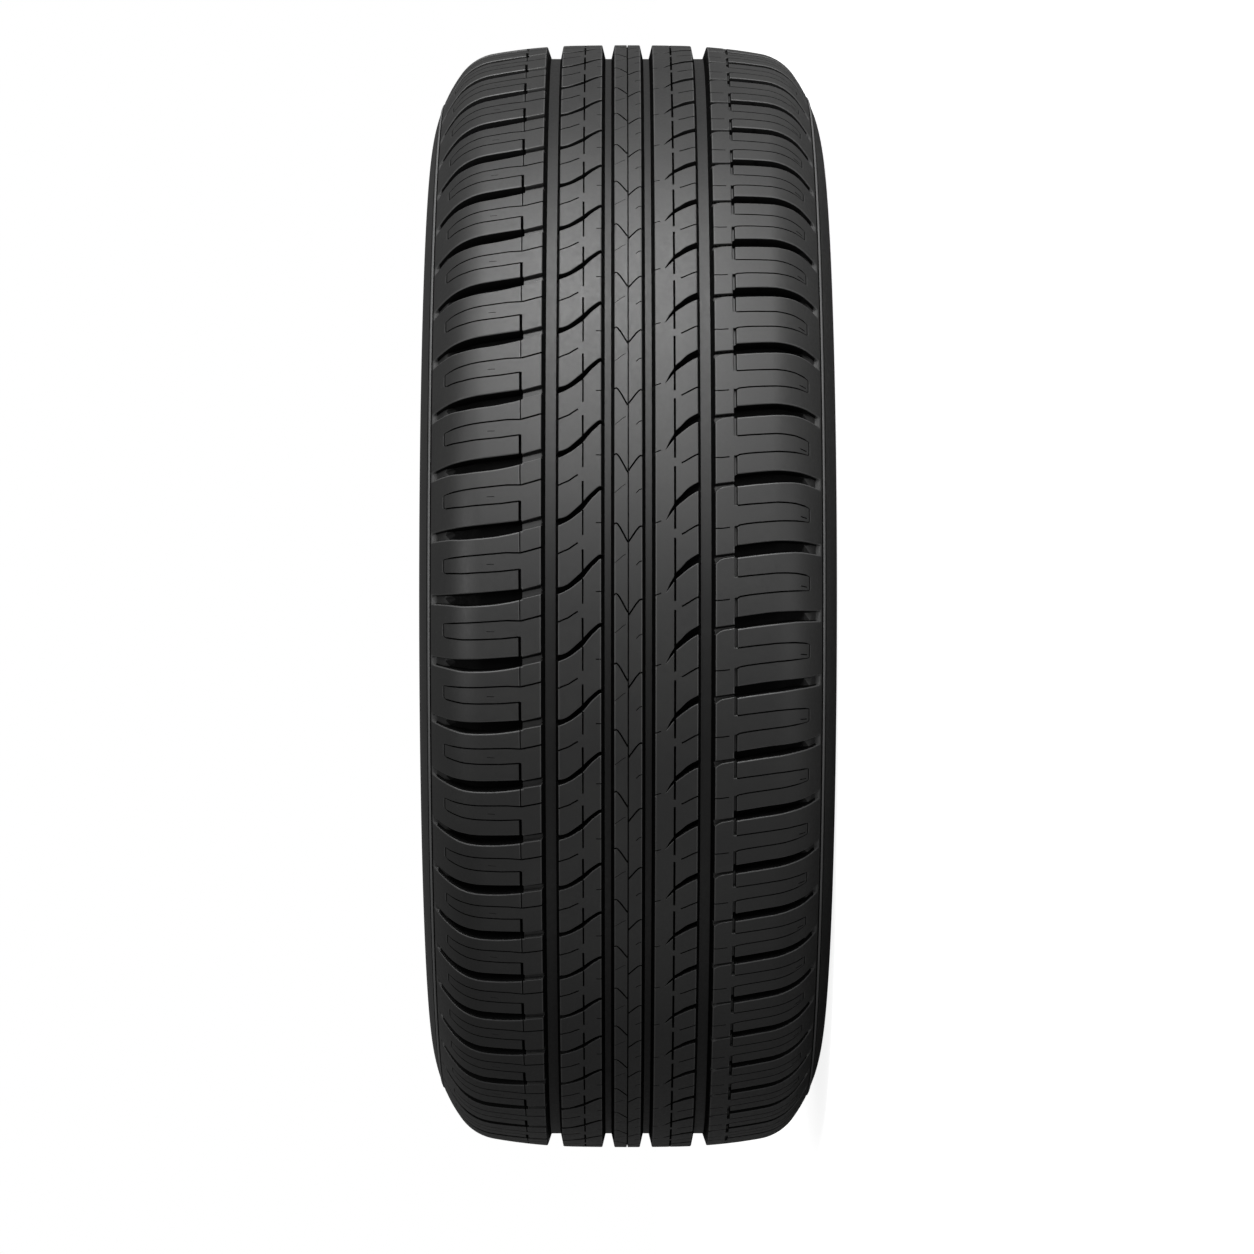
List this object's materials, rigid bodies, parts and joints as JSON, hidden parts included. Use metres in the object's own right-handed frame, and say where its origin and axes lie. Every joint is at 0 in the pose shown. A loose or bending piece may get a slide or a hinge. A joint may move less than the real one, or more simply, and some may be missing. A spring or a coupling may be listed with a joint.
{
  "type": "tyre",
  "caption": "Radial passenger car tyre with an asymmetric summer tread: broad main grooves, curved rib grooves and closely pitched shoulder grooves.",
  "frame": {"origin": "centre of the wheel, on the spin axis, midway between the sidewalls", "axes": "+Z along the spin axis, towards the sidewall that the picture shows on the left; +X is up in the picture and the pictured tread faces -Y, so the tyre lies on one sidewall"},
  "size_m": [0.6467, 0.6468, 0.226],
  "materials": {
    "tyre": "matte charcoal rubber"
  },
  "bodies": {
    "root": {"tyre": "tyre"}
  },
  "joints": []
}
